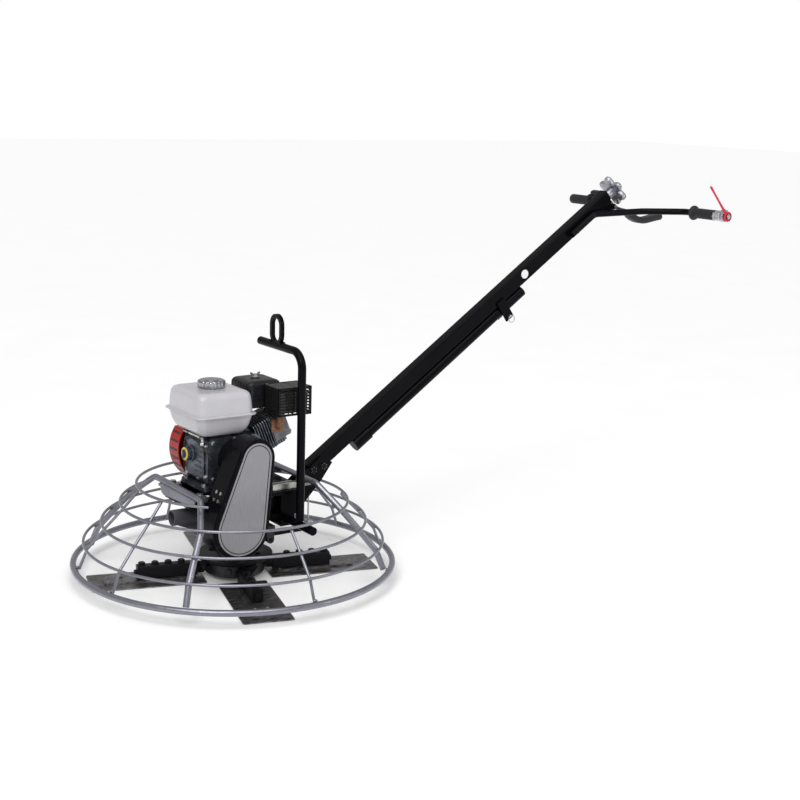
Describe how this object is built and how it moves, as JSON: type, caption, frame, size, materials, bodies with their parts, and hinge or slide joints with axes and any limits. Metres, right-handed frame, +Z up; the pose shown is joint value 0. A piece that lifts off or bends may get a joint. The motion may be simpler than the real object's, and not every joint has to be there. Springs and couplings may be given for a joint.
{
  "type": "power trowel",
  "caption": "Walk-behind power trowel: petrol engine drives pitched steel blades inside a ring guard, steered by a raised handle.",
  "frame": {"origin": "where the rotor axis meets the floor", "axes": "+X towards the operator along the handle, +Y towards the recoil starter, +Z up the rotor axis"},
  "size_m": [2.2114, 0.989, 1.1961],
  "materials": {
    "gearbox_casting": "satin black paint over casting",
    "black_paint": "black powder coat",
    "silver_paint": "silver powder coat, slight sheen",
    "blade_steel": "ground spring steel",
    "steel": "machined",
    "zinc_bolts": "zinc plated",
    "engine_aluminium": "as cast",
    "cast_aluminium": "polished casting",
    "tank_white": "off-white, glossy",
    "cap_chrome": "bright plated",
    "red_paint": "gloss red",
    "red_plastic": "red",
    "black_plastic": "grained",
    "muffler_steel": "heat-dulled",
    "rubber_grip": "soft matt",
    "belt_rubber": "fabric faced",
    "bronze": "machined bronze",
    "rope": "braided cord"
  },
  "bodies": {
    "frame": {"gearbox_housing": "gearbox_casting", "gearbox_cover": "gearbox_casting", "gearbox_bearings": "steel", "engine_deck": "black_paint", "front_socket": "black_paint", "guard_bottom_ring": "silver_paint", "guard_rods": "silver_paint", "guard_hoops": "silver_paint", "lifting_bail": "black_paint", "handle_bracket": "black_paint", "handle_tube": "black_paint", "handlebar": "black_paint", "handle_grips": "rubber_grip", "bar_clamps": "cast_aluminium", "belt_guard_cover": "black_paint", "belt_guard_back": "black_paint", "v_belt": "belt_rubber", "crankcase": "engine_aluminium", "piston": "cast_aluminium", "cylinder_head": "engine_aluminium", "spark_plug": "black_plastic", "muffler": "muffler_steel", "air_cleaner_base": "black_plastic", "air_cleaner_cover": "black_plastic", "fuel_tank": "tank_white", "fan_shroud": "red_paint", "recoil_cover": "red_paint", "fasteners": "zinc_bolts"},
    "rotor": {"rotor_shaft": "steel", "spider_hub": "gearbox_casting", "worm_wheel": "bronze"},
    "arm_1": {"trowel_arm_1": "black_paint", "blade_1": "blade_steel"},
    "arm_2": {"trowel_arm_2": "black_paint", "blade_2": "blade_steel"},
    "arm_3": {"trowel_arm_3": "black_paint", "blade_3": "blade_steel"},
    "arm_4": {"trowel_arm_4": "black_paint", "blade_4": "blade_steel"},
    "pressure_plate": {"pressure_plate": "black_paint"},
    "thrust_collar": {"thrust_collar": "steel"},
    "yoke": {"yoke_fork": "black_paint"},
    "pitch_link": {"pitch_link": "steel"},
    "pitch_nut": {"pitch_nut": "steel"},
    "pitch_wheel": {"pitch_wheel": "cast_aluminium"},
    "worm": {"worm_shaft": "steel", "driven_pulley": "gearbox_casting"},
    "clutch_drum": {"clutch_drum": "gearbox_casting"},
    "crank": {"crankshaft": "steel", "flywheel": "cast_aluminium"},
    "throttle_lever": {"throttle_lever": "red_plastic"},
    "stop_button": {"stop_button": "black_plastic"},
    "deadman_lever": {"deadman_lever": "black_plastic"},
    "lift_tube": {"lift_tube": "black_paint"},
    "lift_tube_pin": {"lift_tube_pin": "zinc_bolts"},
    "fuel_cap": {"fuel_cap": "cap_chrome"},
    "oil_cap": {"oil_cap": "black_plastic"},
    "recoil_grip": {"recoil_grip": "black_plastic", "recoil_rope": "rope"},
    "choke_lever": {"choke_lever": "black_plastic"}
  },
  "joints": [
    {"name": "rotor_spin", "type": "hinge", "parent": "frame", "child": "rotor", "pos_m": [0, 0, 0.203], "axis": [0, 0, 1], "continuous": true},
    {"name": "worm_spin", "type": "hinge", "parent": "frame", "child": "worm", "pos_m": [-0.084, 0, 0.203], "axis": [0, 1, 0], "continuous": true},
    {"name": "clutch_drum_spin", "type": "hinge", "parent": "frame", "child": "clutch_drum", "pos_m": [-0.038, 0, 0.388], "axis": [0, 1, 0], "continuous": true},
    {"name": "crankshaft_spin", "type": "hinge", "parent": "frame", "child": "crank", "pos_m": [-0.038, 0, 0.388], "axis": [0, 1, 0], "continuous": true},
    {"name": "pitch_wheel_turn", "type": "hinge", "parent": "frame", "child": "pitch_wheel", "pos_m": [1.49072, 0, 1.15007], "axis": [0.8211, 0, 0.5707], "range_deg": [0, 1080]},
    {"name": "blade_pitch_1", "type": "hinge", "parent": "rotor", "child": "arm_1", "pos_m": [0, 0, 0.029], "axis": [-0.9632, 0.2689, 0], "range_deg": [0, 15]},
    {"name": "blade_pitch_2", "type": "hinge", "parent": "rotor", "child": "arm_2", "pos_m": [0, 0, 0.029], "axis": [-0.2689, -0.9632, 0], "range_deg": [0, 15]},
    {"name": "blade_pitch_3", "type": "hinge", "parent": "rotor", "child": "arm_3", "pos_m": [0, 0, 0.029], "axis": [0.9632, -0.2689, 0], "range_deg": [0, 15]},
    {"name": "blade_pitch_4", "type": "hinge", "parent": "rotor", "child": "arm_4", "pos_m": [0, 0, 0.029], "axis": [0.2689, 0.9632, 0], "range_deg": [0, 15]},
    {"name": "pressure_plate_slide", "type": "slide", "parent": "rotor", "child": "pressure_plate", "axis": [0, 0, -1], "range_m": [0, 0.011]},
    {"name": "thrust_collar_slide", "type": "slide", "parent": "frame", "child": "thrust_collar", "axis": [0, 0, -1], "range_m": [0, 0.011]},
    {"name": "yoke_tilt", "type": "hinge", "parent": "frame", "child": "yoke", "pos_m": [0.095, 0, 0.106], "axis": [0, -1, 0], "range_deg": [0, 6.65]},
    {"name": "pitch_link_slide", "type": "slide", "parent": "frame", "child": "pitch_link", "axis": [0, 0, 1], "range_m": [0, 0.01934]},
    {"name": "pitch_nut_slide", "type": "slide", "parent": "frame", "child": "pitch_nut", "axis": [0.8211, 0, 0.5707], "range_m": [0, 0.01934]},
    {"name": "throttle_lever_swing", "type": "hinge", "parent": "frame", "child": "throttle_lever", "pos_m": [1.65, -0.386, 1.083], "axis": [0, -1, 0], "range_deg": [0, 55]},
    {"name": "stop_button_press", "type": "slide", "parent": "frame", "child": "stop_button", "axis": [0, -1, 0], "range_m": [0, 0.005], "stiffness_N_per_m": 500, "springref_m": -0.002},
    {"name": "deadman_lever_squeeze", "type": "hinge", "parent": "frame", "child": "deadman_lever", "pos_m": [1.484, 0, 1.09], "axis": [0, -1, 0], "range_deg": [0, 9], "stiffness_Nm_per_rad": 2, "springref_deg": -17.19},
    {"name": "lift_tube_slide", "type": "slide", "parent": "frame", "child": "lift_tube", "axis": [0.8211, 0, 0.5707], "range_m": [0, 0.061]},
    {"name": "lift_tube_pin_pull", "type": "slide", "parent": "frame", "child": "lift_tube_pin", "axis": [0, -1, 0], "range_m": [0, 0.072]},
    {"name": "fuel_cap_turn", "type": "hinge", "parent": "frame", "child": "fuel_cap", "pos_m": [-0.08, 0, 0.6], "axis": [0, 0, 1], "range_deg": [0, 100]},
    {"name": "oil_cap_turn", "type": "hinge", "parent": "frame", "child": "oil_cap", "pos_m": [-0.15, 0.022, 0.392], "axis": [-1, 0, 0], "range_deg": [0, 720]},
    {"name": "recoil_pull", "type": "slide", "parent": "frame", "child": "recoil_grip", "axis": [0, 0, 1], "range_m": [0, 0.45], "stiffness_N_per_m": 20, "springref_m": -0.3, "deforming": ["recoil_rope"]},
    {"name": "choke_lever_swing", "type": "hinge", "parent": "frame", "child": "choke_lever", "pos_m": [0.058, 0.096, 0.496], "axis": [0, 1, 0], "range_deg": [0, 50]}
  ],
  "couplings": [
    {"joint": "worm_spin", "follows": "rotor_spin", "ratio": 18},
    {"joint": "clutch_drum_spin", "follows": "rotor_spin", "ratio": 29.6},
    {"joint": "blade_pitch_1", "follows": "pitch_wheel_turn", "ratio": 0.013889},
    {"joint": "blade_pitch_2", "follows": "pitch_wheel_turn", "ratio": 0.013889},
    {"joint": "blade_pitch_3", "follows": "pitch_wheel_turn", "ratio": 0.013889},
    {"joint": "blade_pitch_4", "follows": "pitch_wheel_turn", "ratio": 0.013889},
    {"joint": "pressure_plate_slide", "follows": "pitch_wheel_turn", "m_per_rad": 0.00058357},
    {"joint": "thrust_collar_slide", "follows": "pitch_wheel_turn", "m_per_rad": 0.00058357},
    {"joint": "yoke_tilt", "follows": "pitch_wheel_turn", "ratio": 0.0061566},
    {"joint": "pitch_link_slide", "follows": "pitch_wheel_turn", "m_per_rad": 0.0010257},
    {"joint": "pitch_nut_slide", "follows": "pitch_wheel_turn", "m_per_rad": 0.0010257}
  ]
}
